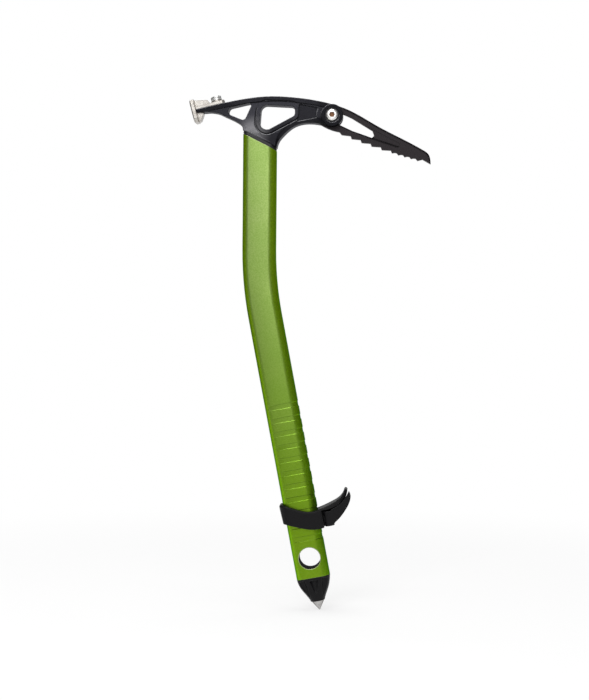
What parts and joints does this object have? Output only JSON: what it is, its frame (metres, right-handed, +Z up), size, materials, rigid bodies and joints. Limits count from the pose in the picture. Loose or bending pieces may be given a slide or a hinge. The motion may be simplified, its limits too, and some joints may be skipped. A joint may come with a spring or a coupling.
{
  "type": "technical ice climbing tool",
  "caption": "Ice climbing tool with a bent oval tube shaft, forged black head, bolted toothed pick, hammer, sliding clamped pommel, clip hole and spike.",
  "frame": {"origin": "centre of the clip hole at the foot of the shaft, midway between the shaft's two flat faces", "axes": "+Z up the straight upper shaft to the head, +X towards the pick, Y across the tool with the clip hole along it"},
  "size_m": [0.2343, 0.0292, 0.4999],
  "materials": {
    "shaft_green": "anodised metallic green, fine grain",
    "head_black": "anodised charcoal black, shot blasted",
    "collar_black": "moulded matt black",
    "pick_steel": "dark blackened steel",
    "bright_steel": "bright machined steel",
    "black_steel": "black oxide",
    "cast_steel": "bright stainless casting",
    "black_nylon": "moulded black nylon",
    "spike_steel": "polished turned steel",
    "lever_nylon": "moulded black nylon, slightly glossy"
  },
  "bodies": {
    "tool": {"shaft": "shaft_green", "head": "head_black", "head_collar": "collar_black", "pick": "pick_steel", "pick_bolt": "bright_steel", "pick_washer": "black_steel", "pick_nut": "bright_steel", "hammer": "cast_steel", "hammer_bolt": "bright_steel", "hammer_insert": "bright_steel", "ferrule": "black_nylon", "spike": "spike_steel", "spike_pin": "bright_steel"},
    "pommel": {"pommel_body": "black_nylon", "cam_plate": "bright_steel", "tension_screw": "bright_steel", "screw_washer": "bright_steel", "lever_barrel": "bright_steel"},
    "lever": {"clamp_lever": "lever_nylon"}
  },
  "joints": [
    {"name": "pommel_slide", "type": "slide", "parent": "tool", "child": "pommel", "axis": [-0.1908, 0, 0.9816], "range_m": [-0.012, 0.15]},
    {"name": "lever_hinge", "type": "hinge", "parent": "pommel", "child": "lever", "pos_m": [0.01832, -0.0094, 0.03942], "axis": [0.1908, 0, -0.9816], "range_deg": [0, 90]}
  ]
}
